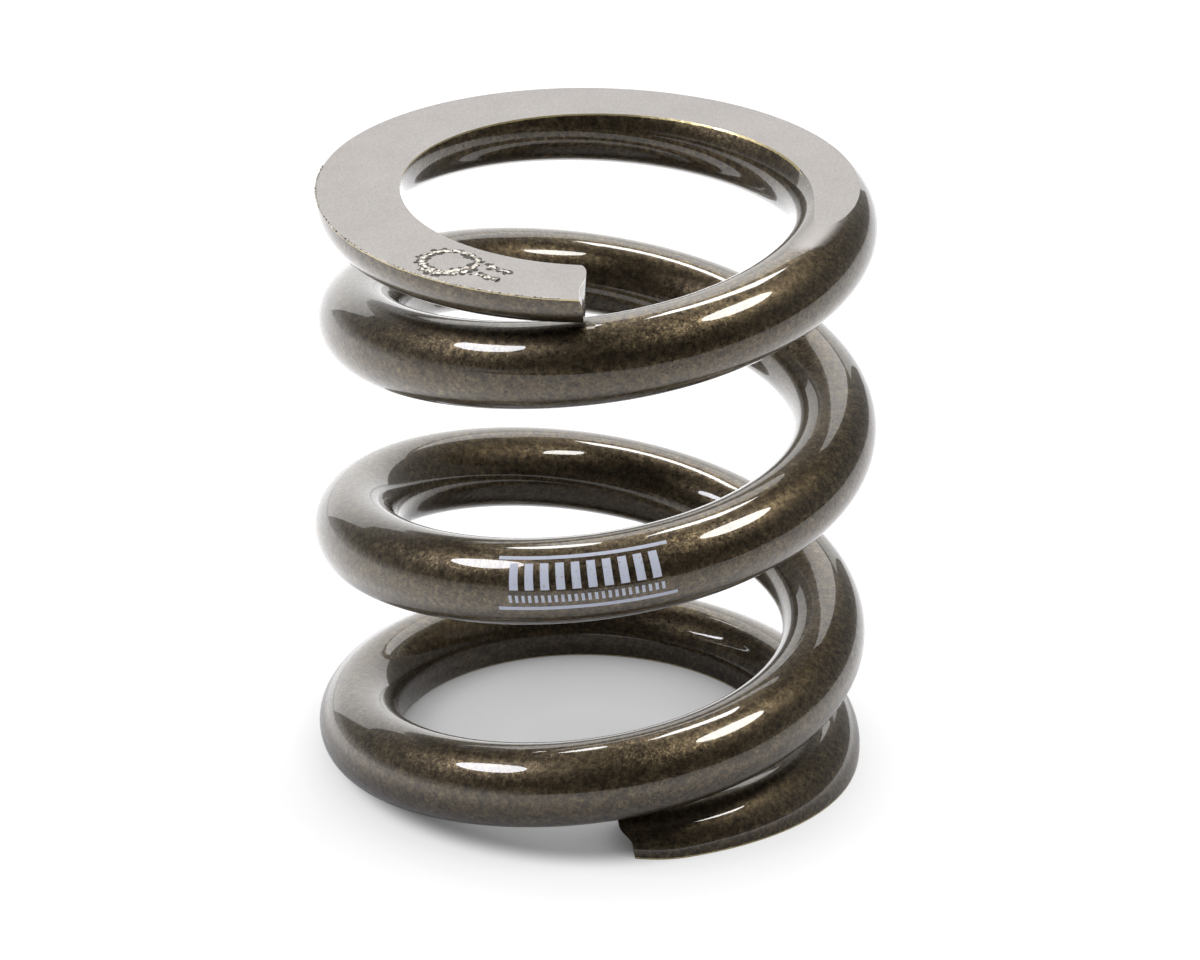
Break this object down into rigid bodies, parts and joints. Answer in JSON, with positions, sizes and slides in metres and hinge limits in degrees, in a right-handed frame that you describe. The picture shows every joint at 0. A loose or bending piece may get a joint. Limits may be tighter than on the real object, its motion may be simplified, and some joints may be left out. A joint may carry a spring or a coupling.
{
  "type": "bump stop spring",
  "caption": "Short, stiff compression spring of heavy round wire with closed, ground ends, sized to slip over a damper shaft as a bump stop.",
  "frame": {"origin": "on the coil's axis, in the plane of the lower ground seat", "axes": "+Z along the coil's axis, from the lower seat to the upper one; -Y towards the side where both tips of the wire lie"},
  "size_m": [0.0471, 0.0472, 0.0514],
  "materials": {
    "powder_coat": "glossy bronze powder coat with a metallic fleck; the two seats are ground to bare steel"
  },
  "bodies": {
    "root": {"coil_spring": "powder_coat"}
  },
  "joints": []
}
